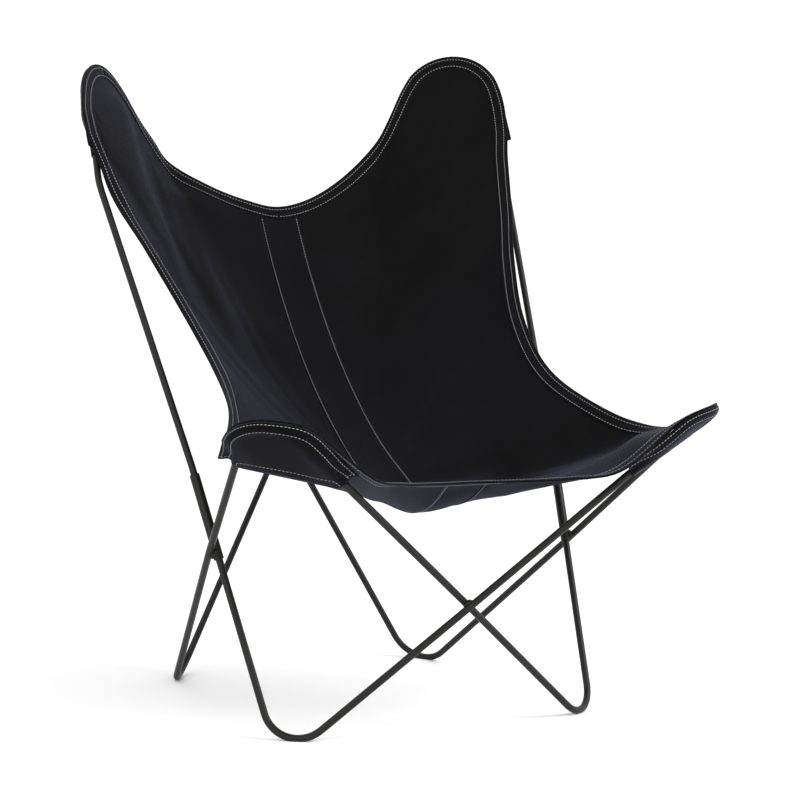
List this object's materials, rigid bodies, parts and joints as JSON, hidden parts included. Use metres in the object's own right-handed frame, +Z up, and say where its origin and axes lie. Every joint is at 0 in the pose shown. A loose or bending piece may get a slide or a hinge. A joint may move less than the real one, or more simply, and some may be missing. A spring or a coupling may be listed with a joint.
{
  "type": "butterfly sling chair",
  "caption": "Low butterfly lounge chair: a dark canvas sling hangs by corner pockets on a frame of crossing bent steel rod with plug-in back hairpins.",
  "frame": {"origin": "on the floor, in the middle of the bounding box's footprint", "axes": "+X to the picture's right, the sitter's left hand, +Y to the back of the chair, +Z up"},
  "size_m": [0.7344, 0.7832, 0.9876],
  "materials": {
    "powder_coat": "satin powder coat, dark grey-black",
    "canvas": "heavy plain-weave cotton canvas, near black",
    "canvas_tape": "folded canvas band, near black"
  },
  "bodies": {
    "root": {"base_rod_right": "powder_coat", "base_rod_left": "powder_coat", "back_hairpin_right": "powder_coat", "back_hairpin_left": "powder_coat", "side_sleeve_right": "powder_coat", "side_sleeve_left": "powder_coat", "rear_sleeve_right": "powder_coat", "rear_sleeve_left": "powder_coat", "side_weld_right": "powder_coat", "side_weld_left": "powder_coat", "front_weld": "powder_coat", "rear_weld": "powder_coat", "sling_panel_right": "canvas", "sling_panel_left": "canvas", "centre_strip": "canvas", "front_binding": "canvas_tape", "neck_binding": "canvas_tape", "side_binding_right": "canvas_tape", "side_binding_left": "canvas_tape", "front_pocket_right": "canvas", "front_pocket_left": "canvas", "back_pocket_right": "canvas", "back_pocket_left": "canvas"}
  },
  "joints": []
}
